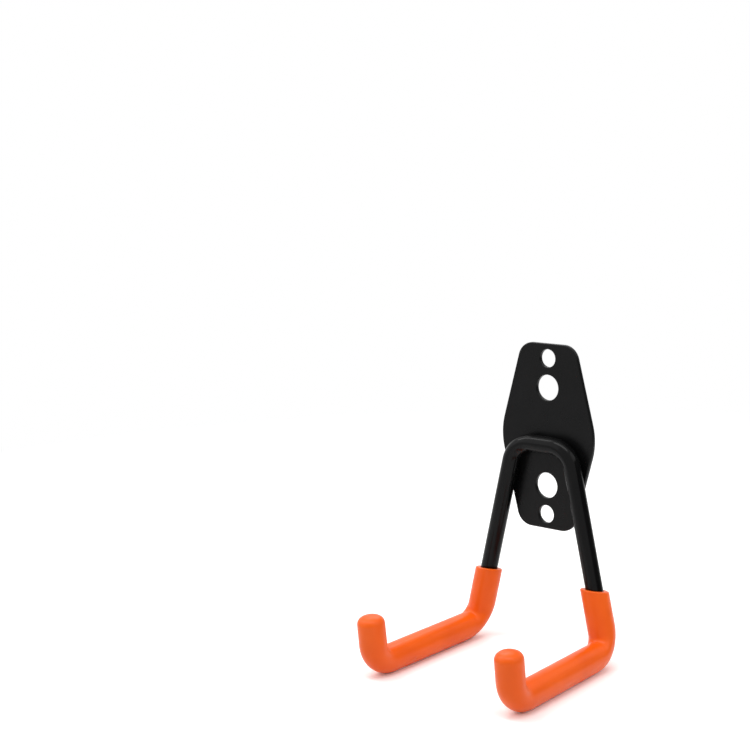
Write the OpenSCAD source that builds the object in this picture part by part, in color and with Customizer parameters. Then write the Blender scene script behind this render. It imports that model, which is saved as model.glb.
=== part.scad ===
// Utility hook for a wall: a flat steel plate with four holes on its centre line, one round steel bar bent into
// a crossbar, two splayed legs and two near-level arms with upturned tips, and a soft dipped sleeve on each arm.
// Frame: the plate's back lies in the plane Y = 0, the arms reach towards -Y, and Z is up.

/* [Wall plate] */
// Height of the plate
plate_h = 86.6; // [80:1:110]
// Width of each end, to its sharp corners
end_w = 29.2; // [26:0.2:34]
// Width at the middle, to its sharp corners
mid_w = 52.6; // [48:0.2:60]
// Thickness of the sheet
plate_t = 2.3; // [1.6:0.1:4]
// Radius of the four end corners
corner_r = 8; // [5:0.5:9]
// Radius of the two soft points at the middle
mid_r = 30; // [15:1:45]

/* [Holes] */
// Diameter of the two small holes near the ends
small_hole_d = 8.4; // [4:0.1:9]
// Distance from each end of the plate to the centre of the small hole
hole_margin = 6.8; // [6:0.1:8]
// Diameter of the two large holes
large_hole_d = 12; // [6:0.1:13]
// Distance from the centre of each small hole to the centre of the large hole beside it
hole_pitch = 13.6; // [12.6:0.1:15]

/* [Bar] */
// Diameter of the round bar
bar_d = 8; // [6:0.25:9.5]
// How far the crossbar's centre line lies below the plate's middle
crossbar_drop = 3; // [0:0.5:5]
// Width of the crossbar between the corners that its centre line would have with no bend
crossbar_w = 30.2; // [26:0.2:36]
// Centre line radius of the bend between crossbar and leg
corner_bend_r = 12; // [8:0.5:13]
// Angle between each leg and the vertical
leg_splay = 13; // [8:0.5:18]
// Height of the crossbar's centre line above the arms' centre line
leg_h = 91; // [80:0.5:120]
// Centre line radius of the bend between leg and arm
rear_bend_r = 12.5; // [10:0.5:18]

/* [Arms] */
// Length of each arm between the corners that its centre line would have with no bends
arm_reach = 74; // [50:1:110]
// Angle by which each arm points outwards
arm_toe = 1.4; // [0:0.1:4]
// Angle by which each arm drops towards its tip, as the bar is bent a little less than square
arm_droop = 2; // [0:0.5:4]
// Centre line radius of the bend between arm and tip
tip_bend_r = 10.5; // [8:0.5:14]
// Angle through which each tip turns up from the arm
tip_angle = 85; // [70:1:90]
// Height of the sleeve's end above the arm's centre line, along the tip
tip_h = 23.2; // [21:0.2:40]

/* [Sleeves] */
// Outside diameter of the sleeves
sleeve_d = 12.7; // [10.5:0.1:14]
// Height of the rim's middle above the arm's centre line
sleeve_rise = 27; // [22:0.1:45]
// Tilt of the rim, higher at the front
rim_tilt = 11; // [0:1:15]
// Thickness of the closed end over the bar's end
sleeve_cap = 2.6; // [1.5:0.1:4]
// Radius of the edge of the closed end
end_round = 3.2; // [1:0.1:4.5]

/* [Weld] */
// Length of the seam under the crossbar
weld_len = 16; // [6:1:18]
// Reach of the seam down the plate, measured from the crossbar's centre line
weld_leg = 3.8; // [3.6:0.1:4]
// Angle around the bar, from the plate, at which the seam ends
weld_angle = 58; // [40:1:64]

/* [Hidden] */
$fn = 96;
// Clearance between a sleeve and the bar that it grips
sleeve_gap = 0.02;
// A direction whose level part is under this is taken as vertical
level_part = 0.001;
// How far a cutter runs past the face that it cuts
over = 1;
// Straight lengths run this far into the bends and rounded corners that they join
lap = 0.2;
// Bends and corner discs stay this far inside the straight surfaces that they join
step_in = 0.02;
bar_r = bar_d / 2;
sleeve_r = sleeve_d / 2;
steel = [0.10, 0.10, 0.11];
orange = [0.93, 0.36, 0.11];

// Heights of the holes over the plate's middle, the same below it
small_hole_z = plate_h / 2 - hole_margin;
large_hole_z = small_hole_z - hole_pitch;
// Slope of the plate's four long sides
side_lean = atan2((mid_w - end_w) / 2, plate_h / 2);
// The end corners: turn of the outline, tangent length and centre of each arc
end_turn = 90 - side_lean;
end_tangent = corner_r * tan(end_turn / 2);
corner_x = end_w / 2 - end_tangent;
corner_z = plate_h / 2 - corner_r;
// The middle corners turn by twice the lean
mid_tangent = mid_r * tan(side_lean);
mid_x = mid_w / 2 - mid_r / cos(side_lean);
side_dir = [sin(side_lean), -cos(side_lean)];
outline = [
    [end_w / 2 - end_tangent + lap, plate_h / 2],
    [end_w / 2, plate_h / 2] + side_dir * (end_tangent - lap),
    [mid_w / 2, 0] - side_dir * (mid_tangent - lap)
];

// Centre line of the right half of the bar: corners with no bend, and the directions between them
bar_y = -plate_t - bar_r;
bar_dir = [1, 0, 0];
leg_dir = [sin(leg_splay), 0, -cos(leg_splay)];
arm_dir = [sin(arm_toe) * cos(arm_droop), -cos(arm_toe) * cos(arm_droop), -sin(arm_droop)];
arm_up = [sin(arm_toe) * sin(arm_droop), -cos(arm_toe) * sin(arm_droop), cos(arm_droop)];
tip_dir = arm_dir * cos(tip_angle) + arm_up * sin(tip_angle);
corner_1 = [crossbar_w / 2, bar_y, -crossbar_drop];
corner_2 = corner_1 + leg_dir * (leg_h / cos(leg_splay));
corner_3 = corner_2 + arm_dir * arm_reach;
bar_end = corner_3 + tip_dir * (tip_h - sleeve_cap);
sleeve_end = corner_3 + tip_dir * tip_h;
rim_point = corner_2 - leg_dir * (sleeve_rise / cos(leg_splay));

function unit(v) = v / norm(v);
function turn_of(u, v) = acos(u * v);
function tangent_of(u, v, bend_r) = bend_r * tan(turn_of(u, v) / 2);
// Angles that carry the X, Y and Z axes to three perpendicular directions
function angles_of(ex, ey, ez) =
    norm([ex[0], ex[1]]) < level_part
        ? [atan2(-ey[0] * sign(ex[2]), ey[1]), -90 * sign(ex[2]), 0]
        : [atan2(ey[2], ez[2]), -asin(ex[2]), atan2(ex[1], ex[0])];

// A round bar between two points, lapped into what it meets at either end
module straight(from, to, r, lap_from = lap, lap_to = lap) {
    d = unit(to - from);
    translate(from - d * lap_from)
        rotate([0, acos(d[2]), atan2(d[1], d[0])])
            cylinder(h = norm(to - from) + lap_from + lap_to, r = r);
}

// A round bar bent about a corner of its centre line, from direction u to direction v
module bend(corner, u, v, bend_r, r) {
    inward = unit(v - (v * u) * u);
    centre = corner - u * tangent_of(u, v, bend_r) + inward * bend_r;
    translate(centre)
        rotate(angles_of(-inward, u, cross(-inward, u)))
            rotate_extrude(angle = turn_of(u, v))
                translate([bend_r, 0])
                    circle(r = r - step_in);
}

// The leg from a point on it, the arm and the tip, at any radius
module arm_run(start, finish, r) {
    leg_end = corner_2 - leg_dir * tangent_of(leg_dir, arm_dir, rear_bend_r);
    arm_start = corner_2 + arm_dir * tangent_of(leg_dir, arm_dir, rear_bend_r);
    arm_end = corner_3 - arm_dir * tangent_of(arm_dir, tip_dir, tip_bend_r);
    tip_start = corner_3 + tip_dir * tangent_of(arm_dir, tip_dir, tip_bend_r);
    straight(start, leg_end, r);
    bend(corner_2, leg_dir, arm_dir, rear_bend_r, r);
    straight(arm_start, arm_end, r);
    bend(corner_3, arm_dir, tip_dir, tip_bend_r, r);
    straight(tip_start, finish, r, lap, 0);
}

module plate_body() {
    linear_extrude(height = plate_t)
        polygon(concat(
            outline,
            [for (i = [2:-1:0]) [outline[i][0], -outline[i][1]]],
            [for (i = [0:2]) [-outline[i][0], -outline[i][1]]],
            [for (i = [2:-1:0]) [-outline[i][0], outline[i][1]]]
        ));
    for (sx = [-1, 1])
        for (sz = [-1, 1])
            translate([sx * corner_x, sz * corner_z])
                cylinder(h = plate_t, r = corner_r - step_in);
    for (sx = [-1, 1])
        intersection() {
            translate([sx * mid_x, 0])
                cylinder(h = plate_t, r = mid_r - step_in);
            translate([(sx - 1) * mid_w / 2, -plate_h / 4, 0])
                cube([mid_w, plate_h / 2, plate_t]);
        }
}

module back_plate() {
    color(steel)
        rotate([90, 0, 0])
            difference() {
                plate_body();
                for (s = [-1, 1]) {
                    translate([0, s * small_hole_z, -over])
                        cylinder(h = plate_t + 2 * over, d = small_hole_d);
                    translate([0, s * large_hole_z, -over])
                        cylinder(h = plate_t + 2 * over, d = large_hole_d);
                }
            }
}

module half_bar() {
    leg_start = corner_1 + leg_dir * tangent_of(bar_dir, leg_dir, corner_bend_r);
    bend(corner_1, bar_dir, leg_dir, corner_bend_r, bar_r);
    arm_run(leg_start, bar_end, bar_r);
}

module hook_bar() {
    bend_start = corner_1 - bar_dir * tangent_of(bar_dir, leg_dir, corner_bend_r);
    color(steel) {
        straight([-bend_start[0], bar_y, -crossbar_drop], bend_start, bar_r);
        half_bar();
        mirror([1, 0, 0])
            half_bar();
    }
}

// A seam in the crease under the crossbar, where a camera above it sees nothing of it
module weld_seam() {
    color(steel)
        translate([-weld_len / 2, -plate_t, -crossbar_drop])
            rotate([90, 0, 90])
                linear_extrude(height = weld_len)
                    difference() {
                        polygon([
                            [0, 0],
                            [0, -weld_leg],
                            [bar_r * (cos(weld_angle) - 1), -bar_r * sin(weld_angle)],
                            [-bar_r, 0]
                        ]);
                        translate([-bar_r, 0])
                            circle(r = bar_r);
                    }
}

// A disc with a rounded upper edge, lapped below its foot
module rounded_end(r, edge_r) {
    rotate_extrude()
        intersection() {
            union() {
                square([r - edge_r, edge_r]);
                translate([r - edge_r, 0])
                    circle(r = edge_r);
                translate([0, -lap])
                    square([r, lap]);
            }
            translate([0, -lap])
                square([r + over, edge_r + lap]);
        }
}

// The right sleeve: the outer run, cut by the tilted rim, less the bar's space
module sleeve() {
    cap_start = sleeve_end - tip_dir * end_round;
    difference() {
        union() {
            arm_run(rim_point - leg_dir * sleeve_r, cap_start, sleeve_r);
            translate(cap_start)
                rotate([0, acos(tip_dir[2]), atan2(tip_dir[1], tip_dir[0])])
                    rounded_end(sleeve_r - step_in, end_round);
        }
        arm_run(rim_point - leg_dir * 2 * sleeve_r, bar_end, bar_r + sleeve_gap);
        translate(rim_point)
            rotate([-rim_tilt, 0, 0])
                translate([-2 * sleeve_r, -2 * sleeve_r, 0])
                    cube([4 * sleeve_r, 4 * sleeve_r, 3 * sleeve_r]);
    }
}

module right_sleeve() {
    color(orange)
        sleeve();
}

module left_sleeve() {
    color(orange)
        mirror([1, 0, 0])
            sleeve();
}

back_plate();
hook_bar();
weld_seam();
left_sleeve();
right_sleeve();
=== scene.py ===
"""A wall utility hook: flat plate, one bent round bar, its weld seam and two dipped sleeves, in a white studio."""

import logging
from dataclasses import dataclass, field
from enum import Enum

import bmesh
import bpy
import numpy as np
from mathutils import Matrix


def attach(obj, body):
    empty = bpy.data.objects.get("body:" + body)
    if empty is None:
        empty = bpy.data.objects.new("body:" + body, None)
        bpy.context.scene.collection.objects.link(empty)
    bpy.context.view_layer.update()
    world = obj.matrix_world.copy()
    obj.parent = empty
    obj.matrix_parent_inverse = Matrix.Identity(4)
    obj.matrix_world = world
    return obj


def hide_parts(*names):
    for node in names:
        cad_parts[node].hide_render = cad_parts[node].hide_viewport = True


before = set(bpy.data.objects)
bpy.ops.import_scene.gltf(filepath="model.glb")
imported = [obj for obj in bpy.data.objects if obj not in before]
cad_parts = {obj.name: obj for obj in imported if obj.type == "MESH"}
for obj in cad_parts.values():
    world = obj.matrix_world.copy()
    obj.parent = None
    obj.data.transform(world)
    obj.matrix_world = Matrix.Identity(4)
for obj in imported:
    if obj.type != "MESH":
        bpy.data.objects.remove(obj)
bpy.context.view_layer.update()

LOG = logging.getLogger("utility_hook")
MM = 0.001
BODY = "root"
Array = np.ndarray


class Side(Enum):
    """The two halves of the hook, by the sign of X."""

    LEFT = -1
    RIGHT = 1


class Shading(Enum):
    """How a patch of surface takes the light."""

    FLAT = False
    SMOOTH = True


# ---- surfaces worked out on grids ----


@dataclass(frozen=True)
class Patch:
    """One piece of surface: its vertices in millimetres, its faces, and its shading."""

    vertices: Array
    faces: list[tuple[int, ...]]
    shading: Shading = Shading.SMOOTH


@dataclass(frozen=True)
class Rails:
    """Samples along a centre line, each with its tangent and one direction square to it."""

    points: Array
    tangents: Array
    normals: Array

    @property
    def binormals(self) -> Array:
        """The direction square to tangent and normal."""
        return np.cross(self.tangents, self.normals)

    def rings(self, radii: Array, sides: int) -> Array:
        """Carry a circle along the line: point + radius * (cos(a) * normal + sin(a) * binormal).

        Args:
            radii: One radius for each sample.
            sides: Points in each ring.

        Returns:
            Grid of samples by sides by 3.
        """
        angle = np.linspace(0.0, 2.0 * np.pi, sides, endpoint=False)[None, :, None]
        spokes = np.cos(angle) * self.normals[:, None] + np.sin(angle) * self.binormals[:, None]
        return self.points[:, None] + radii[:, None, None] * spokes


def unit(vector: Array) -> Array:
    """The vector at length one."""
    return vector / np.linalg.norm(vector)


def turned(vector: Array, axis: Array, angles: Array) -> Array:
    """Turn one vector about an axis by each angle: v cos(a) + (axis x v) sin(a) + axis (axis . v)(1 - cos(a)).

    Args:
        vector: The vector to turn.
        axis: Unit axis of the turn.
        angles: Angles in radians.

    Returns:
        One turned vector for each angle.
    """
    cos, sin = np.cos(angles)[:, None], np.sin(angles)[:, None]
    return vector * cos + np.cross(axis, vector) * sin + axis * (axis @ vector) * (1.0 - cos)


def rounded_line(corners: Array, bend_radii: list[float], step: float, bend_rings: int) -> Rails:
    """Follow straight runs joined by circular bends.

    Each corner is cut back by radius * tan(turn / 2) on both sides. Within a bend the point is
    centre - inward * radius * cos(a) + direction * radius * sin(a), and the normal turns about the bend's axis.

    Args:
        corners: Corners of the line before rounding, ends included.
        bend_radii: Radius of the bend at each inner corner.
        step: Longest distance between samples on a straight run.
        bend_rings: Samples inside each bend.

    Returns:
        The sampled line with frames that never twist.
    """
    runs = np.diff(corners, axis=0)
    directions = runs / np.linalg.norm(runs, axis=1, keepdims=True)
    turns = np.arccos(np.clip(np.sum(directions[:-1] * directions[1:], axis=1), -1.0, 1.0))
    cuts = np.concatenate([[0.0], np.array(bend_radii) * np.tan(turns / 2.0), [0.0]])
    helper = np.eye(3)[np.argmin(np.abs(directions[0]))]
    normal = unit(np.cross(directions[0], helper))
    points, tangents, normals = [], [], []
    for i, direction in enumerate(directions):
        start = corners[i] + direction * cuts[i]
        finish = corners[i + 1] - direction * cuts[i + 1]
        count = max(2, int(np.ceil(np.linalg.norm(finish - start) / step)) + 1)
        share = np.linspace(0.0, 1.0, count)[:, None]
        points.append(start + (finish - start) * share)
        tangents.append(np.repeat(direction[None], count, axis=0))
        normals.append(np.repeat(normal[None], count, axis=0))
        if i < len(turns):
            axis = unit(np.cross(direction, directions[i + 1]))
            inward = np.cross(axis, direction)
            centre = finish + inward * bend_radii[i]
            angle = np.linspace(0.0, turns[i], bend_rings + 2)[1:-1]
            points.append(centre + bend_radii[i] * turned(-inward, axis, angle))
            tangents.append(turned(direction, axis, angle))
            normals.append(turned(normal, axis, angle))
            normal = turned(normal, axis, turns[i : i + 1])[0]
    return Rails(np.concatenate(points), np.concatenate(tangents), np.concatenate(normals))


def skin(grid: Array, shading: Shading = Shading.SMOOTH, wrap: bool = True) -> Patch:
    """Join neighbouring points of a grid into four-sided faces.

    Args:
        grid: Rows by columns by 3.
        shading: Shading of the faces.
        wrap: Whether the last column joins the first.

    Returns:
        The patch, open at its first and last rows.
    """
    rows, columns = grid.shape[:2]
    index = np.arange(rows * columns).reshape(rows, columns)
    after = np.roll(index, -1, axis=1)
    corners = np.stack([index[:-1], after[:-1], after[1:], index[1:]], axis=-1)
    corners = corners if wrap else corners[:, :-1]
    return Patch(grid.reshape(-1, 3), corners.reshape(-1, 4).tolist(), shading)


def fan(ring: Array, pole: Array, shading: Shading = Shading.SMOOTH) -> Patch:
    """Close a ring with triangles that meet at one point.

    Args:
        ring: Points of the ring.
        pole: The point where the triangles meet.
        shading: Shading of the faces.

    Returns:
        The patch.
    """
    index = np.arange(len(ring))
    corners = np.stack([index, np.roll(index, -1), np.full(len(ring), len(ring))], axis=-1)
    return Patch(np.vstack([ring, pole]), corners.tolist(), shading)


def piece_from(name: str, patches: list[Patch]) -> bpy.types.Object:
    """Weld patches into one closed mesh with outward faces, at the origin, in metres.

    Args:
        name: Name of the object and its mesh.
        patches: Patches whose edges lie on each other.

    Returns:
        The new object, linked to the scene.
    """
    starts = np.cumsum([0] + [len(p.vertices) for p in patches[:-1]])
    vertices = np.concatenate([p.vertices for p in patches]) * MM
    faces = [tuple(int(start) + k for k in face) for p, start in zip(patches, starts) for face in p.faces]
    mesh = bpy.data.meshes.new(name)
    mesh.from_pydata(vertices.tolist(), [], faces)
    mesh.polygons.foreach_set("use_smooth", [p.shading.value for p in patches for _ in p.faces])
    work = bmesh.new()
    work.from_mesh(mesh)
    bmesh.ops.remove_doubles(work, verts=work.verts, dist=0.0004 * MM)
    bmesh.ops.recalc_face_normals(work, faces=work.faces)
    open_edges = sum(not edge.is_manifold for edge in work.edges)
    volume = work.calc_volume(signed=True) / MM**3
    work.to_mesh(mesh)
    work.free()
    LOG.info("%s: %d faces, %d open edges, %.1f mm3", name, len(mesh.polygons), open_edges, volume)
    obj = bpy.data.objects.new(name, mesh)
    bpy.context.scene.collection.objects.link(obj)
    return obj


# ---- finishes ----


@dataclass
class Sheet:
    """A node tree being filled in, with short calls to add and join nodes."""

    tree: bpy.types.NodeTree

    def add(self, kind: str, values: dict[str | int, object] | None = None, **settings: object) -> bpy.types.Node:
        """Add a node.

        Args:
            kind: Blender's name of the node type.
            values: Input socket to a value, or to the output socket that feeds it.
            settings: Attributes of the node itself.

        Returns:
            The new node.
        """
        node = self.tree.nodes.new(kind)
        for key, setting in settings.items():
            setattr(node, key, setting)
        for socket, value in (values or {}).items():
            if isinstance(value, bpy.types.NodeSocket):
                self.tree.links.new(value, node.inputs[socket])
            else:
                node.inputs[socket].default_value = value
        return node

    def join(self, source: bpy.types.NodeSocket, target: bpy.types.NodeSocket) -> None:
        """Link an output to an input."""
        self.tree.links.new(source, target)


def effect_group(name: str, numbers: list[str], outputs: list[str]) -> tuple[Sheet, bpy.types.Node, bpy.types.Node]:
    """Start a shader node group that takes a position and some numbers.

    Args:
        name: Name of the group.
        numbers: Names of its number inputs.
        outputs: Names of its number outputs.

    Returns:
        The sheet of the group, its input node and its output node.
    """
    tree = bpy.data.node_groups.new(name, "ShaderNodeTree")
    tree.interface.new_socket(name="Position", in_out="INPUT", socket_type="NodeSocketVector")
    for number in numbers:
        tree.interface.new_socket(name=number, in_out="INPUT", socket_type="NodeSocketFloat")
    for output in outputs:
        tree.interface.new_socket(name=output, in_out="OUTPUT", socket_type="NodeSocketFloat")
    sheet = Sheet(tree)
    return sheet, sheet.add("NodeGroupInput"), sheet.add("NodeGroupOutput")


def orange_peel_group() -> bpy.types.NodeTree:
    """Build the skin of a sprayed or dipped coat: height = broad + fine share * fine, two layers of noise.

    Returns:
        The group, with a Height output.
    """
    sheet, source, sink = effect_group("orange_peel", ["Broad Scale", "Fine Scale", "Fine Share"], ["Height"])
    broad = sheet.add(
        "ShaderNodeTexNoise",
        {"Vector": source.outputs["Position"], "Scale": source.outputs["Broad Scale"], "Detail": 1.0},
    )
    fine = sheet.add(
        "ShaderNodeTexNoise",
        {"Vector": source.outputs["Position"], "Scale": source.outputs["Fine Scale"], "Detail": 2.0},
    )
    height = sheet.add(
        "ShaderNodeMath",
        {0: fine.outputs["Fac"], 1: source.outputs["Fine Share"], 2: broad.outputs["Fac"]},
        operation="MULTIPLY_ADD",
    )
    sheet.join(height.outputs[0], sink.inputs["Height"])
    return sheet.tree


def mottle_group() -> bpy.types.NodeTree:
    """Build soft clouds for colour and gloss: noise stretched to 0..1, and a second field for the gloss.

    Returns:
        The group, with the Tone and Gloss outputs.
    """
    sheet, source, sink = effect_group("mottle", ["Tone Scale", "Gloss Scale"], ["Tone", "Gloss"])
    for scale, output, detail in (("Tone Scale", "Tone", 4.0), ("Gloss Scale", "Gloss", 3.0)):
        noise = sheet.add(
            "ShaderNodeTexNoise",
            {"Vector": source.outputs["Position"], "Scale": source.outputs[scale], "Detail": detail},
        )
        spread = sheet.add("ShaderNodeMapRange", {"Value": noise.outputs["Fac"], "From Min": 0.32, "From Max": 0.68})
        sheet.join(spread.outputs["Result"], sink.inputs[output])
    return sheet.tree


@dataclass(frozen=True)
class CoatFinish:
    """A coat over the whole piece, described by its two tones, its gloss and its skin."""

    name: str
    slot: str
    dark: tuple[float, float, float]
    light: tuple[float, float, float]
    tone_scale: float
    gloss_scale: float
    roughness: tuple[float, float]
    specular: float
    peel_scales: tuple[float, float]
    fine_share: float
    peel_depth: float
    peel_strength: float
    softness: float = 0.0
    coat: float = 0.0
    coat_roughness: float = 0.2

    def material(self) -> bpy.types.Material:
        """Build the material: tone mixes two colours, gloss moves the roughness, and the skin bumps the normal.

        Returns:
            The material.
        """
        made = bpy.data.materials.new(self.name)
        made.use_nodes = True
        made.diffuse_color = (*self.light, 1.0)
        sheet = Sheet(made.node_tree)
        shader = made.node_tree.nodes["Principled BSDF"]
        place = sheet.add("ShaderNodeTexCoord").outputs["Object"]
        mottle = sheet.add(
            "ShaderNodeGroup",
            {"Position": place, "Tone Scale": self.tone_scale, "Gloss Scale": self.gloss_scale},
            node_tree=bpy.data.node_groups["mottle"],
        )
        colour = sheet.add("ShaderNodeMix", {"Factor": mottle.outputs["Tone"]}, data_type="RGBA")
        colour.inputs[6].default_value = (*self.dark, 1.0)
        colour.inputs[7].default_value = (*self.light, 1.0)
        low, high = self.roughness
        gloss = sheet.add("ShaderNodeMapRange", {"Value": mottle.outputs["Gloss"], "To Min": low, "To Max": high})
        peel = sheet.add(
            "ShaderNodeGroup",
            {
                "Position": place,
                "Broad Scale": self.peel_scales[0],
                "Fine Scale": self.peel_scales[1],
                "Fine Share": self.fine_share,
            },
            node_tree=bpy.data.node_groups["orange_peel"],
        )
        bump = sheet.add(
            "ShaderNodeBump",
            {"Height": peel.outputs["Height"], "Strength": self.peel_strength, "Distance": self.peel_depth * MM},
        )
        sheet.join(colour.outputs[2], shader.inputs["Base Color"])
        sheet.join(gloss.outputs["Result"], shader.inputs["Roughness"])
        sheet.join(bump.outputs["Normal"], shader.inputs["Normal"])
        shader.inputs["Specular IOR Level"].default_value = self.specular
        shader.inputs["Coat Weight"].default_value = self.coat
        shader.inputs["Coat Roughness"].default_value = self.coat_roughness
        if self.softness:
            shader.inputs["Subsurface Weight"].default_value = self.softness
            shader.inputs["Subsurface Radius"].default_value = (1.0, 0.35, 0.12)
            shader.inputs["Subsurface Scale"].default_value = 0.9 * MM
        return made

    def dress(self, obj: bpy.types.Object, *nodes: str) -> None:
        """Give an object this finish, and let it stand for its CAD nodes.

        Args:
            obj: The finished piece.
            nodes: The CAD nodes that it replaces.
        """
        made = bpy.data.materials.get(self.name) or self.material()
        obj.data.materials.append(made)
        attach(obj, BODY)
        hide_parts(*nodes)
        LOG.info("%s dressed in %s", obj.name, self.name)


PLATE_COAT = CoatFinish(
    name="powder_coat_sheet",
    slot="steel_black",
    dark=(0.0030, 0.0030, 0.0032),
    light=(0.0048, 0.0048, 0.0050),
    tone_scale=60.0,
    gloss_scale=140.0,
    roughness=(0.26, 0.34),
    specular=0.125,
    peel_scales=(900.0, 2800.0),
    fine_share=0.5,
    peel_depth=0.012,
    peel_strength=0.55,
)
BAR_COAT = CoatFinish(
    name="powder_coat_bar",
    slot="steel_black",
    dark=(0.0030, 0.0030, 0.0032),
    light=(0.0048, 0.0048, 0.0050),
    tone_scale=70.0,
    gloss_scale=160.0,
    roughness=(0.15, 0.21),
    specular=0.11,
    peel_scales=(1000.0, 3000.0),
    fine_share=0.5,
    peel_depth=0.009,
    peel_strength=0.5,
)
SEAM_COAT = CoatFinish(
    name="powder_coat_seam",
    slot="steel_black",
    dark=(0.007, 0.007, 0.0075),
    light=(0.014, 0.014, 0.0145),
    tone_scale=120.0,
    gloss_scale=300.0,
    roughness=(0.4, 0.58),
    specular=0.14,
    peel_scales=(1300.0, 4000.0),
    fine_share=0.6,
    peel_depth=0.03,
    peel_strength=0.7,
)
DIPPED_VINYL = CoatFinish(
    name="dipped_vinyl",
    slot="sleeve_orange",
    dark=(0.85, 0.103, 0.003),
    light=(0.94, 0.126, 0.0045),
    tone_scale=45.0,
    gloss_scale=110.0,
    roughness=(0.30, 0.38),
    specular=0.24,
    peel_scales=(420.0, 1700.0),
    fine_share=0.2,
    peel_depth=0.02,
    peel_strength=0.4,
)


# ---- the hook's own pieces ----


@dataclass(frozen=True)
class BarLine:
    """Centre line of the bent bar: crossbar, two splayed legs, two arms and two upturned tips, in millimetres."""

    plate_thickness: float = 2.3
    bar_radius: float = 4.0
    crossbar_drop: float = 3.0
    crossbar_width: float = 30.2
    corner_bend: float = 12.0
    leg_splay: float = 13.0
    leg_height: float = 91.0
    rear_bend: float = 12.5
    arm_reach: float = 74.0
    arm_toe: float = 1.4
    arm_droop: float = 2.0
    tip_bend: float = 10.5
    tip_angle: float = 85.0
    tip_height: float = 23.2
    sleeve_cap: float = 2.6

    @property
    def bar_y(self) -> float:
        """Depth of the crossbar's centre line, one radius in front of the plate."""
        return -self.plate_thickness - self.bar_radius

    @property
    def leg_dir(self) -> Array:
        """Direction down the right leg."""
        splay = np.radians(self.leg_splay)
        return np.array([np.sin(splay), 0.0, -np.cos(splay)])

    @property
    def arm_dir(self) -> Array:
        """Direction along the right arm, away from the wall."""
        toe, droop = np.radians(self.arm_toe), np.radians(self.arm_droop)
        return np.array([np.sin(toe) * np.cos(droop), -np.cos(toe) * np.cos(droop), -np.sin(droop)])

    @property
    def arm_up(self) -> Array:
        """Direction square to the right arm, upwards."""
        toe, droop = np.radians(self.arm_toe), np.radians(self.arm_droop)
        return np.array([np.sin(toe) * np.sin(droop), -np.cos(toe) * np.sin(droop), np.cos(droop)])

    @property
    def tip_dir(self) -> Array:
        """Direction up the right tip: the arm's direction turned up by the tip's angle."""
        angle = np.radians(self.tip_angle)
        return self.arm_dir * np.cos(angle) + self.arm_up * np.sin(angle)

    def corners(self) -> Array:
        """Corners of the right half before rounding: crossbar, leg foot, arm end and bar end."""
        shoulder = np.array([self.crossbar_width / 2.0, self.bar_y, -self.crossbar_drop])
        heel = shoulder + self.leg_dir * self.leg_height / np.cos(np.radians(self.leg_splay))
        toe = heel + self.arm_dir * self.arm_reach
        end = toe + self.tip_dir * (self.tip_height - self.sleeve_cap)
        return np.array([shoulder, heel, toe, end])


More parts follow.
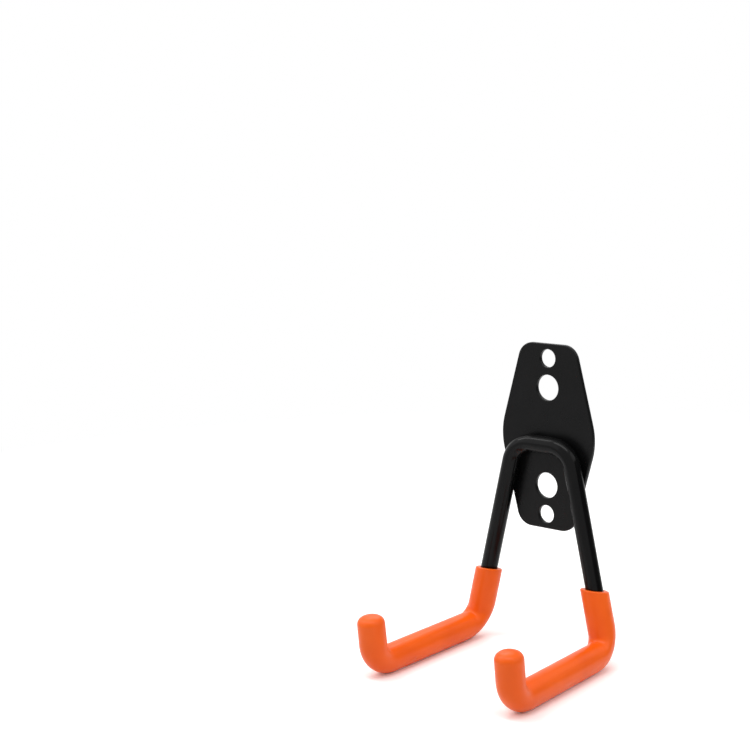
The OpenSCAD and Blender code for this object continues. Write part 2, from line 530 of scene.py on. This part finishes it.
@dataclass
class WallPlate:
    """The flat plate: a long six-sided sheet with rounded corners and four holes, sizes in millimetres."""

    height: float = 86.6
    end_width: float = 29.2
    middle_width: float = 52.6
    thickness: float = 2.3
    corner_radius: float = 8.0
    middle_radius: float = 30.0
    small_radius: float = 4.2
    large_radius: float = 6.0
    hole_margin: float = 6.8
    hole_pitch: float = 13.6
    edge_round: float = 0.6
    hole_round: float = 0.45
    belt: float = 11.0
    finish: CoatFinish = PLATE_COAT

    @property
    def small_height(self) -> float:
        """Height of the upper small hole's centre."""
        return self.height / 2.0 - self.hole_margin

    @property
    def large_height(self) -> float:
        """Height of the upper large hole's centre."""
        return self.small_height - self.hole_pitch

    def quarter(self) -> tuple[Array, Array, int, int]:
        """Follow the outline of the upper right quarter, from the top's middle to the side's middle.

        Straight parts are blends of their ends; each arc is centre + radius * (cos(a), sin(a)), and its
        outward normal is (cos(a), sin(a)).

        Returns:
            Points, outward normals, and the indices of the two heights at which the face is divided.
        """
        lean = np.arctan2((self.middle_width - self.end_width) / 2.0, self.height / 2.0)
        tangent = self.corner_radius * np.tan((np.pi / 2.0 - lean) / 2.0)
        corner = np.array([self.end_width / 2.0 - tangent, self.height / 2.0 - self.corner_radius])
        middle = np.array([self.middle_width / 2.0 - self.middle_radius / np.cos(lean), 0.0])
        out = np.array([np.cos(lean), np.sin(lean)])
        high, low = corner + self.corner_radius * out, middle + self.middle_radius * out
        split = (self.small_height + self.large_height) / 2.0
        cuts = [high + (low - high) * (high[1] - z) / (high[1] - low[1]) for z in (split, self.belt)]
        top = np.array([0.0, self.height / 2.0])
        top_run = top + (corner + [0.0, self.corner_radius] - top) * np.linspace(0, 1, 7)[:-1, None]
        runs = [
            a + (b - a) * np.linspace(0, 1, n + 1)[:-1, None]
            for a, b, n in ((high, cuts[0], 7), (cuts[0], cuts[1], 18), (cuts[1], low, 4))
        ]
        corner_angle = np.linspace(np.pi / 2.0, lean, 15)[:-1]
        middle_angle = np.linspace(lean, 0.0, 11)
        corner_out = np.stack([np.cos(corner_angle), np.sin(corner_angle)], axis=1)
        middle_out = np.stack([np.cos(middle_angle), np.sin(middle_angle)], axis=1)
        points = np.vstack([top_run, corner + self.corner_radius * corner_out, *runs, middle + self.middle_radius * middle_out])
        straight = sum(len(run) for run in runs)
        normals = np.vstack([np.tile([0.0, 1.0], (len(top_run), 1)), corner_out, np.tile(out, (straight, 1)), middle_out])
        first = len(top_run) + len(corner_out) + len(runs[0])
        return points, normals, first, first + len(runs[1])

    @staticmethod
    def at_depth(flat: Array, depth: float) -> Array:
        """Lift points of the sheet's plane to a depth: (x, z) becomes (x, -depth, z)."""
        return np.stack([flat[..., 0], np.full(flat.shape[:-1], -depth), flat[..., 1]], axis=-1)

    def rim(self, loop: Array, outward: Array, rounding: float) -> Patch:
        """Carry the sheet's edge round a loop: two quarter rounds and the wall between them.

        At angle a of a round the edge stands back by rounding * (1 - sin(a)) and lies rounding * (1 - cos(a)) deep.

        Args:
            loop: Points of the loop.
            outward: Directions out of the metal.
            rounding: Radius of the two rounds.

        Returns:
            The patch from the back face to the front face.
        """
        angle = np.linspace(0.0, np.pi / 2.0, 6)
        inset = rounding * (1.0 - np.sin(angle))
        depth = rounding * (1.0 - np.cos(angle))
        insets = np.concatenate([inset, inset[::-1]])
        depths = np.concatenate([depth, self.thickness - depth[::-1]])
        flat = loop[None] - outward[None] * insets[:, None, None]
        rows = np.stack([flat[..., 0], np.repeat(-depths[:, None], len(loop), axis=1), flat[..., 1]], axis=-1)
        return skin(rows)

    def hole_zone(self, loop: Array, centre: float, radius: float, flip: int) -> list[Patch]:
        """Fill both faces between a hole and the loop round it, and line the hole.

        Spoke j runs from the hole's edge to the loop's point j: (1 - s) * edge + s * loop.

        Args:
            loop: Points of the loop, in the plate's upper half.
            centre: Height of the hole's centre.
            radius: Radius of the hole.
            flip: 1 for the upper half of the plate and -1 for the lower.

        Returns:
            The two faces and the hole's lining.
        """
        spokes = loop - [0.0, centre]
        spokes = spokes / np.linalg.norm(spokes, axis=1, keepdims=True)
        share = np.linspace(0.0, 1.0, 5)[:, None, None] ** 1.3
        edge = [0.0, centre] + (radius + self.hole_round) * spokes
        faces = ((1.0 - share) * edge[None] + share * loop[None]) * [1.0, flip]
        ring = ([0.0, centre] + radius * spokes) * [1.0, flip]
        return [
            skin(self.at_depth(faces, 0.0), Shading.FLAT),
            skin(self.at_depth(faces, self.thickness), Shading.FLAT),
            self.rim(ring, -spokes * [1.0, flip], self.hole_round),
        ]

    def build(self) -> bpy.types.Object:
        """Make the plate from its outer rim, four hole zones and the belt between them.

        Returns:
            The plate.
        """
        points, normals, first, second = self.quarter()
        mirror = np.array([-1.0, 1.0])
        down = np.array([1.0, -1.0])
        right = np.vstack([points, points[-2::-1] * down])
        right_out = np.vstack([normals, normals[-2::-1] * down])
        loop = np.vstack([right, right[-2:0:-1] * mirror])
        loop_out = np.vstack([right_out, right_out[-2:0:-1] * mirror])
        patches = [self.rim(loop, loop_out, self.edge_round)]
        inner = points - self.edge_round * normals
        across = np.linspace(1.0, -1.0, 21)[1:-1, None]
        line_a = inner[first] * np.hstack([across, np.ones_like(across)])
        line_b = inner[second] * np.hstack([across, np.ones_like(across)])
        upper = inner[: first + 1]
        top_loop = np.vstack([upper, line_a, (upper * mirror)[:0:-1]])
        side = inner[first : second + 1]
        belt_loop = np.vstack([side, line_b, (side * mirror)[::-1], line_a[::-1]])
        for flip in (1, -1):
            patches += self.hole_zone(top_loop, self.small_height, self.small_radius, flip)
            patches += self.hole_zone(belt_loop, self.large_height, self.large_radius, flip)
        rows = np.vstack([inner[second:], inner[-2 : second - 1 : -1] * down])
        span = np.linspace(1.0, -1.0, 21)[None, :, None]
        sheet = np.concatenate([rows[:, None, :1] * span, np.repeat(rows[:, None, 1:], 21, axis=1)], axis=-1)
        for depth in (0.0, self.thickness):
            patches.append(skin(self.at_depth(sheet, depth), Shading.FLAT, wrap=False))
        plate = piece_from("wall_plate", patches)
        self.finish.dress(plate, "back_plate")
        return plate


@dataclass
class BentBar:
    """The round bar, bent from one length between its two hidden ends."""

    line: BarLine = field(default_factory=BarLine)
    sides: int = 72
    step: float = 2.0
    bend_rings: int = 22
    finish: CoatFinish = BAR_COAT

    def build(self) -> bpy.types.Object:
        """Sweep the bar's circle from tip to tip and close its ends.

        Returns:
            The bar.
        """
        half = self.line.corners()
        corners = np.vstack([(half * [-1.0, 1.0, 1.0])[::-1], half])
        bends = [self.line.tip_bend, self.line.rear_bend, self.line.corner_bend]
        rails = rounded_line(corners, bends + bends[::-1], self.step, self.bend_rings)
        grid = rails.rings(np.full(len(rails.points), self.line.bar_radius), self.sides)
        ends = [fan(grid[0], rails.points[0], Shading.FLAT), fan(grid[-1], rails.points[-1], Shading.FLAT)]
        bar = piece_from("bent_bar", [skin(grid), *ends])
        self.finish.dress(bar, "hook_bar")
        return bar


@dataclass
class DippedSleeve:
    """The soft sleeve on one arm, with a tilted rim on the leg and a domed end on the tip."""

    side: Side
    line: BarLine = field(default_factory=BarLine)
    radius: float = 6.35
    gap: float = 0.02
    rise: float = 27.6
    rim_tilt: float = 9.5
    lip_outer: float = 0.7
    lip_inner: float = 0.35
    dome: float = 4.3
    dome_power: float = 2.55
    inner_bends: tuple[float, float] = (8.0, 8.3)
    crease_reach: float = 0.25
    sides: int = 96
    step: float = 1.6
    bend_rings: int = 34
    finish: CoatFinish = DIPPED_VINYL

    def lip_rows(self, rim_point: Array, spokes: Array) -> Array:
        """Work out the rim: inner round, flat land and outer round, on the tilted plane.

        A row at radius r and depth d stands at rim point + r * spoke + leg direction * (h + d), where h brings
        the point onto the rim's plane: h = -r * (spoke . plane normal) / (leg direction . plane normal).

        Args:
            rim_point: Where the rim's plane crosses the leg's centre line.
            spokes: Unit directions round the leg.

        Returns:
            Rows of the rim, from the bore to the outside.
        """
        bore = self.line.bar_radius + self.gap
        tilt = np.radians(self.rim_tilt)
        plane = np.array([0.0, np.sin(tilt), np.cos(tilt)])
        angle = np.linspace(0.0, np.pi / 2.0, 8)
        inner_r = bore + self.lip_inner * (1.0 - np.cos(angle))
        inner_d = self.lip_inner * (1.0 - np.sin(angle))
        outer_r = self.radius - self.lip_outer * (1.0 - np.sin(angle))
        outer_d = self.lip_outer * (1.0 - np.cos(angle))
        radii = np.concatenate([inner_r, outer_r])[:, None, None]
        depths = np.concatenate([inner_d, outer_d])[:, None, None]
        lift = -radii * (spokes @ plane)[None, :, None] / (self.line.leg_dir @ plane)
        return rim_point + radii * spokes[None] + self.line.leg_dir * (lift + depths)

    def skin_rows(self, corners: Array, spokes: Array) -> Array:
        """Carry the outside round both bends, wide on the outer side and creased on the inner side.

        A line along the sleeve with offset q towards the bend and w along its axis meets itself at
        corner + w * axis + q * (n1 + n2) / (1 + n1 . n2). It is rounded there with radius c - q, where c falls
        from the bar's own bend radius to the inner bend radius as q / radius rises, along a smooth step.

        Args:
            corners: Start, heel, toe and dome foot on the centre line.
            spokes: Unit directions round the start.

        Returns:
            Rows from the start to the dome's foot.
        """
        runs = np.diff(corners, axis=0)
        directions = runs / np.linalg.norm(runs, axis=1, keepdims=True)
        offsets = spokes * self.radius
        rows, last = [], corners[0] + offsets
        for i, wide in enumerate((self.line.rear_bend, self.line.tip_bend)):
            axis = unit(np.cross(directions[i], directions[i + 1]))
            first_in, then_in = np.cross(axis, directions[i]), np.cross(axis, directions[i + 1])
            turn = np.arccos(directions[i] @ directions[i + 1])
            inward, sideways = (offsets @ first_in)[:, None], (offsets @ axis)[:, None]
            rise = np.clip((inward / self.radius + self.crease_reach) / (1.0 + self.crease_reach), 0.0, 1.0)
            centre_radius = wide + (self.inner_bends[i] - wide) * rise**2 * (3.0 - 2.0 * rise)
            radius = centre_radius - inward
            meet = corners[i + 1] + sideways * axis + inward * (first_in + then_in) / (1.0 + first_in @ then_in)
            begin = meet - directions[i] * radius * np.tan(turn / 2.0)
            count = int(np.ceil(np.linalg.norm(begin - last, axis=1).max() / self.step)) + 1
            rows.append(last + (begin - last) * np.linspace(0.0, 1.0, count)[:-1, None, None])
            angle = np.linspace(0.0, turn, self.bend_rings + 2)[:, None, None]
            rows.append(begin + radius * ((1.0 - np.cos(angle)) * first_in + np.sin(angle) * directions[i]))
            last = rows[-1][-1]
            rows[-1] = rows[-1][:-1]
            offsets = sideways * axis + inward * then_in
        end = corners[-1] + offsets
        count = int(np.ceil(np.linalg.norm(end - last, axis=1).max() / self.step)) + 1
        rows.append(last + (end - last) * np.linspace(0.0, 1.0, count)[:, None, None])
        return np.concatenate(rows)

    def build(self) -> bpy.types.Object:
        """Sweep the bore, the rim, the outside and the dome as one closed skin.

        The dome is a superellipse: radius * cos(a) ** (2 / p) out and height * sin(a) ** (2 / p) along.

        Returns:
            The sleeve.
        """
        line = self.line
        _, heel, toe, bar_end = line.corners()
        rim_point = heel - line.leg_dir * self.rise / np.cos(np.radians(line.leg_splay))
        start = rim_point + line.leg_dir * 3.5
        dome_foot = bar_end + line.tip_dir * (line.sleeve_cap - self.dome)
        bends = [line.rear_bend, line.tip_bend]
        inner = rounded_line(np.array([start, heel, toe, bar_end]), bends, 3.0, self.bend_rings)
        angle = np.linspace(0.0, 2.0 * np.pi, self.sides, endpoint=False)[:, None]
        spokes = np.cos(angle) * inner.normals[0] + np.sin(angle) * inner.binormals[0]
        bore = inner.rings(np.full(len(inner.points), line.bar_radius + self.gap), self.sides)
        body = self.skin_rows(np.array([start, heel, toe, dome_foot]), spokes)
        rise = np.linspace(0.0, np.pi / 2.0, 20)[1:-1]
        out = self.radius * np.cos(rise) ** (2.0 / self.dome_power)
        along = self.dome * np.sin(rise) ** (2.0 / self.dome_power)
        last = body[-1] - dome_foot
        dome = dome_foot + along[:, None, None] * line.tip_dir + out[:, None, None] * last[None] / self.radius
        grid = np.concatenate([bore[::-1], self.lip_rows(rim_point, spokes), body, dome])
        top = dome_foot + self.dome * line.tip_dir
        patches = [skin(grid), fan(grid[0], bar_end), fan(grid[-1], top)]
        flip = np.array([self.side.value, 1.0, 1.0])
        patches = [Patch(p.vertices * flip, p.faces, p.shading) for p in patches]
        word = self.side.name.lower()
        sleeve = piece_from(f"dipped_sleeve_{word}", patches)
        self.finish.dress(sleeve, f"{word}_sleeve")
        return sleeve


@dataclass
class WeldSeam:
    """The fillet in the crease under the crossbar, a row of small overlapping ripples."""

    line: BarLine = field(default_factory=BarLine)
    length: float = 16.0
    leg: float = 3.8
    end_angle: float = 58.0
    crown: float = 0.3
    ripple: float = 0.12
    pitch: float = 1.3
    finish: CoatFinish = SEAM_COAT

    def build(self) -> bpy.types.Object:
        """Carry the fillet's section along the crossbar.

        The section runs down the plate, across the bead and back round the bar. Along X the bead swells by
        crown * sin(pi v) plus ripple * |sin(pi x / pitch)|, and the whole section draws in at both ends as
        (1 - u ** 8) ** 0.5.

        Returns:
            The seam.
        """
        radius = self.line.bar_radius
        end = np.radians(self.end_angle)
        down = np.stack([np.zeros(8), np.linspace(-0.9, -self.leg, 8)], axis=1)
        foot, top = down[-1], np.array([radius * (np.cos(end) - 1.0), -radius * np.sin(end)])
        v = np.linspace(0.0, 1.0, 15)[1:-1, None]
        bead = foot + (top - foot) * v
        angle = np.linspace(end, np.radians(14.0), 10)
        back = np.stack([radius * (np.cos(angle) - 1.0), -radius * np.sin(angle)], axis=1)
        section = np.vstack([down, bead, back])
        swell = np.concatenate([np.zeros(8), np.sin(np.pi * v[:, 0]), np.zeros(10)])
        out = np.array([-(top - foot)[1], (top - foot)[0]])
        out = out / np.linalg.norm(out) * -np.sign(out[1])
        u = np.linspace(-0.995, 0.995, 120)
        x = u * self.length / 2.0
        scale = (1.0 - np.abs(u) ** 8) ** 0.5
        height = self.crown + self.ripple * np.abs(np.sin(np.pi * x / self.pitch))
        centre = section.mean(axis=0) * 0.5
        shape = section[None] + (swell[None] * height[:, None])[..., None] * out
        shape = centre + (shape - centre) * scale[:, None, None]
        rows = np.stack(
            [
                np.repeat(x[:, None], shape.shape[1], axis=1),
                shape[..., 0] - self.line.plate_thickness,
                shape[..., 1] - self.line.crossbar_drop,
            ],
            axis=-1,
        )
        patches = [skin(rows), fan(rows[0], rows[0].mean(axis=0)), fan(rows[-1], rows[-1].mean(axis=0))]
        seam = piece_from("weld_bead", patches)
        self.finish.dress(seam, "weld_seam")
        return seam


# ---- the studio ----


@dataclass
class Softbox:
    """One square studio lamp, placed by its direction from the hook."""

    name: str
    azimuth: float
    elevation: float
    distance: float
    width: float
    height: float
    power: float
    tint: tuple[float, float, float] = (1.0, 1.0, 1.0)

    def build(self, aim: Array) -> bpy.types.Object:
        """Hang the lamp and point it at the hook.

        Args:
            aim: The point it looks at, in metres.

        Returns:
            The lamp.
        """
        azimuth, elevation = np.radians(self.azimuth), np.radians(self.elevation)
        back = np.array(
            [np.sin(azimuth) * np.cos(elevation), -np.cos(azimuth) * np.cos(elevation), np.sin(elevation)]
        )
        lamp = bpy.data.lights.new(self.name, "AREA")
        lamp.shape = "RECTANGLE"
        lamp.size, lamp.size_y = self.width, self.height
        lamp.energy = self.power
        lamp.color = self.tint
        obj = bpy.data.objects.new(self.name, lamp)
        bpy.context.scene.collection.objects.link(obj)
        level = unit(np.cross([0.0, 0.0, 1.0], back)) if abs(back[2]) < 0.999 else np.array([1.0, 0.0, 0.0])
        turn = np.eye(4)
        turn[:3, 0], turn[:3, 1], turn[:3, 2] = level, np.cross(back, level), back
        turn[:3, 3] = aim + back * self.distance
        obj.matrix_world = Matrix(turn.tolist())
        return obj


@dataclass
class Camera:
    """The camera that took the picture, as found from the outlines of plate, bar and sleeves."""

    azimuth: float = 41.156
    elevation: float = 8.512
    roll: float = -0.4364
    focal_px: float = 1551.19
    frame_px: float = 750.0
    distance: float = 721.7
    aim: tuple[float, float, float] = (0.0, -2.3, -44.94)
    aim_px: tuple[float, float] = (545.69, 531.83)
    sensor: float = 36.0

    def axes(self) -> tuple[Array, Array, Array]:
        """Work out the camera's right, up and back directions.

        Back points from the hook to the camera; right is level before the roll turns right and up together.

        Returns:
            Right, up and back.
        """
        azimuth, elevation, roll = np.radians([self.azimuth, self.elevation, self.roll])
        back = np.array(
            [np.sin(azimuth) * np.cos(elevation), -np.cos(azimuth) * np.cos(elevation), np.sin(elevation)]
        )
        right = np.array([np.cos(azimuth), np.sin(azimuth), 0.0])
        up = np.cross(back, right)
        cos, sin = np.cos(roll), np.sin(roll)
        return cos * right + sin * up, cos * up - sin * right, back

    def build(self) -> bpy.types.Object:
        """Place the camera so that the aim point falls on its own pixel.

        The ray through pixel (u, v) is (u - c) / f * right - (v - c) / f * up - back, and the camera stands at
        aim - ray * distance.

        Returns:
            The camera.
        """
        right, up, back = self.axes()
        middle = self.frame_px / 2.0
        across, down = (self.aim_px[0] - middle) / self.focal_px, (self.aim_px[1] - middle) / self.focal_px
        ray = across * right - down * up - back
        turn = np.eye(4)
        turn[:3, 0], turn[:3, 1], turn[:3, 2] = right, up, back
        turn[:3, 3] = (np.array(self.aim) - ray * self.distance) * MM
        data = bpy.data.cameras.new("camera")
        data.sensor_width = self.sensor
        data.lens = self.focal_px / self.frame_px * self.sensor
        data.clip_start, data.clip_end = 0.01, 50.0
        obj = bpy.data.objects.new("camera", data)
        bpy.context.scene.collection.objects.link(obj)
        obj.matrix_world = Matrix(turn.tolist())
        bpy.context.scene.camera = obj
        return obj


@dataclass
class Studio:
    """White floor, white surroundings and soft lamps."""

    line: BarLine = field(default_factory=BarLine)
    sleeve_radius: float = 6.35
    floor_gap: float = 0.05
    floor_radius: float = 4.0
    floor_albedo: float = 0.8
    floor_shown: float = 1.22
    fill: float = 0.42
    card_azimuth: float = 113.0
    card_distance: float = 450.0
    card_size: tuple[float, float] = (700.0, 560.0)
    lamps: tuple[Softbox, ...] = (
        Softbox("lamp_left", azimuth=-44.0, elevation=34.0, distance=1.2, width=1.2, height=1.0, power=2.9),
        Softbox("lamp_strip", azimuth=-76.0, elevation=48.0, distance=1.1, width=0.2, height=0.7, power=2.2),
        Softbox("lamp_right", azimuth=108.0, elevation=34.0, distance=1.2, width=1.2, height=1.0, power=4.4),
        Softbox("lamp_back", azimuth=222.0, elevation=48.0, distance=1.1, width=0.7, height=0.3, power=2.6),
        Softbox("lamp_top", azimuth=16.0, elevation=75.0, distance=1.1, width=0.9, height=0.32, power=5.0),
    )

    @staticmethod
    def seen(sheet: Sheet) -> bpy.types.NodeSocket:
        """One where a camera, glossy or transmitted ray looks, and zero for light that falls on things."""
        path = sheet.add("ShaderNodeLightPath")
        first = sheet.add(
            "ShaderNodeMath",
            {0: path.outputs["Is Camera Ray"], 1: path.outputs["Is Glossy Ray"]},
            operation="MAXIMUM",
        )
        both = sheet.add(
            "ShaderNodeMath", {0: first.outputs[0], 1: path.outputs["Is Transmission Ray"]}, operation="MAXIMUM"
        )
        return both.outputs[0]

    def surroundings(self) -> None:
        """Light the hook softly from all round, and show plain white behind it."""
        world = bpy.data.worlds.new("surroundings")
        bpy.context.scene.world = world
        world.use_nodes = True
        sheet = Sheet(world.node_tree)
        back = world.node_tree.nodes["Background"]
        back.inputs["Color"].default_value = (1.0, 1.0, 1.0, 1.0)
        strength = sheet.add("ShaderNodeMapRange", {"Value": self.seen(sheet), "To Min": self.fill, "To Max": 1.0})
        sheet.join(strength.outputs["Result"], back.inputs["Strength"])

    def floor(self) -> bpy.types.Object:
        """Lay a round floor against the undersides of both arms.

        Its points are centre + r * (cos(a) * across + sin(a) * along), with r growing as the square of the row.
        It fades from a lit white near the hook to plain white far off, and nothing of it shows from below.

        Returns:
            The floor.
        """
        line = self.line
        _, heel, toe, _ = line.corners()
        under = (heel + toe) / 2.0 - line.arm_up * (self.sleeve_radius + self.floor_gap)
        up = unit(line.arm_up * [0.0, 1.0, 1.0])
        across = np.array([1.0, 0.0, 0.0])
        along = np.cross(up, across)
        centre = np.array([0.0, under[1], under[2]])
        angle = np.linspace(0.0, 2.0 * np.pi, 96, endpoint=False)[None, :, None]
        reach = (np.linspace(0.05, 1.0, 24) ** 2 * self.floor_radius / MM)[:, None, None]
        grid = centre + reach * (np.cos(angle) * across + np.sin(angle) * along)
        hub = fan(grid[0], centre)
        rest = skin(grid)
        shift = len(hub.vertices)
        mesh = bpy.data.meshes.new("floor")
        faces = hub.faces + [[k + shift for k in reversed(face)] for face in rest.faces]
        mesh.from_pydata((np.vstack([hub.vertices, rest.vertices]) * MM).tolist(), [], faces)
        obj = bpy.data.objects.new("floor", mesh)
        bpy.context.scene.collection.objects.link(obj)
        obj.data.materials.append(self.floor_material(centre * MM))
        return obj

    def floor_material(self, centre: Array) -> bpy.types.Material:
        """Mix a lit white, shown brighter than it throws light back, with plain white further off.

        Args:
            centre: Middle of the floor in metres.

        Returns:
            The material.
        """
        made = bpy.data.materials.new("floor_white")
        made.use_nodes = True
        made.node_tree.nodes.clear()
        sheet = Sheet(made.node_tree)
        seen = self.seen(sheet)
        shown = sheet.add(
            "ShaderNodeMapRange", {"Value": seen, "To Min": self.floor_albedo, "To Max": self.floor_shown}
        )
        near = sheet.add("ShaderNodeBsdfDiffuse", {"Color": shown.outputs["Result"]})
        plain = sheet.add("ShaderNodeMapRange", {"Value": seen, "To Min": self.fill, "To Max": 1.0})
        far = sheet.add("ShaderNodeEmission", {"Strength": plain.outputs["Result"]})
        place = sheet.add("ShaderNodeTexCoord").outputs["Object"]
        away = sheet.add("ShaderNodeVectorMath", {0: place, 1: tuple(centre)}, operation="DISTANCE")
        fade = sheet.add("ShaderNodeMapRange", {"Value": away.outputs["Value"], "From Min": 0.2, "From Max": 0.6})
        mixed = sheet.add("ShaderNodeMixShader", {0: fade.outputs["Result"], 1: near.outputs[0], 2: far.outputs[0]})
        clear = sheet.add("ShaderNodeBsdfTransparent")
        behind = sheet.add("ShaderNodeNewGeometry").outputs["Backfacing"]
        both = sheet.add("ShaderNodeMixShader", {0: behind, 1: mixed.outputs[0], 2: clear.outputs[0]})
        out = sheet.add("ShaderNodeOutputMaterial")
        sheet.join(both.outputs[0], out.inputs["Surface"])
        return made

    def card(self) -> bpy.types.Object:
        """Stand a black card behind the hook on its right, which only its reflections show.

        Its points are centre + u * level + v * (0, 0, 1), with u and v from minus to plus one half of its size.

        Returns:
            The card.
        """
        azimuth = np.radians(self.card_azimuth)
        out = np.array([np.sin(azimuth), -np.cos(azimuth), 0.0])
        level = np.array([-out[1], out[0], 0.0])
        u, v = np.meshgrid(np.linspace(-0.5, 0.5, 5), np.linspace(-0.5, 0.5, 5))
        width, height = self.card_size
        grid = out * self.card_distance + u[..., None] * level * width + v[..., None] * np.array([0, 0, height])
        patch = skin(grid, Shading.FLAT, wrap=False)
        mesh = bpy.data.meshes.new("black_card")
        mesh.from_pydata((patch.vertices * MM).tolist(), [], patch.faces)
        obj = bpy.data.objects.new("black_card", mesh)
        bpy.context.scene.collection.objects.link(obj)
        made = bpy.data.materials.new("card_black")
        made.use_nodes = True
        made.node_tree.nodes["Principled BSDF"].inputs["Base Color"].default_value = (0.01, 0.01, 0.01, 1.0)
        made.node_tree.nodes["Principled BSDF"].inputs["Roughness"].default_value = 0.9
        mesh.materials.append(made)
        obj.visible_camera = obj.visible_diffuse = obj.visible_shadow = False
        obj.visible_transmission = obj.visible_volume_scatter = False
        return obj

    def build(self) -> None:
        """Set up the view's tone, the surroundings, the floor, the card and the lamps."""
        bpy.context.scene.view_settings.view_transform = "Standard"
        self.surroundings()
        self.floor()
        self.card()
        for lamp in self.lamps:
            lamp.build(np.array([0.0, -40.0, -40.0]) * MM)
            LOG.info("%s hung", lamp.name)


def main() -> None:
    """Build the hook's pieces in order, then the studio and the camera."""
    logging.basicConfig(level=logging.INFO, format="%(name)s: %(message)s")
    orange_peel_group()
    mottle_group()
    builders = (WallPlate(), BentBar(), WeldSeam(), DippedSleeve(Side.LEFT), DippedSleeve(Side.RIGHT))
    for builder in builders:
        piece = builder.build()
        LOG.info("built %s", piece.name)
    Studio().build()
    Camera().build()


if __name__ == "__main__":
    main()
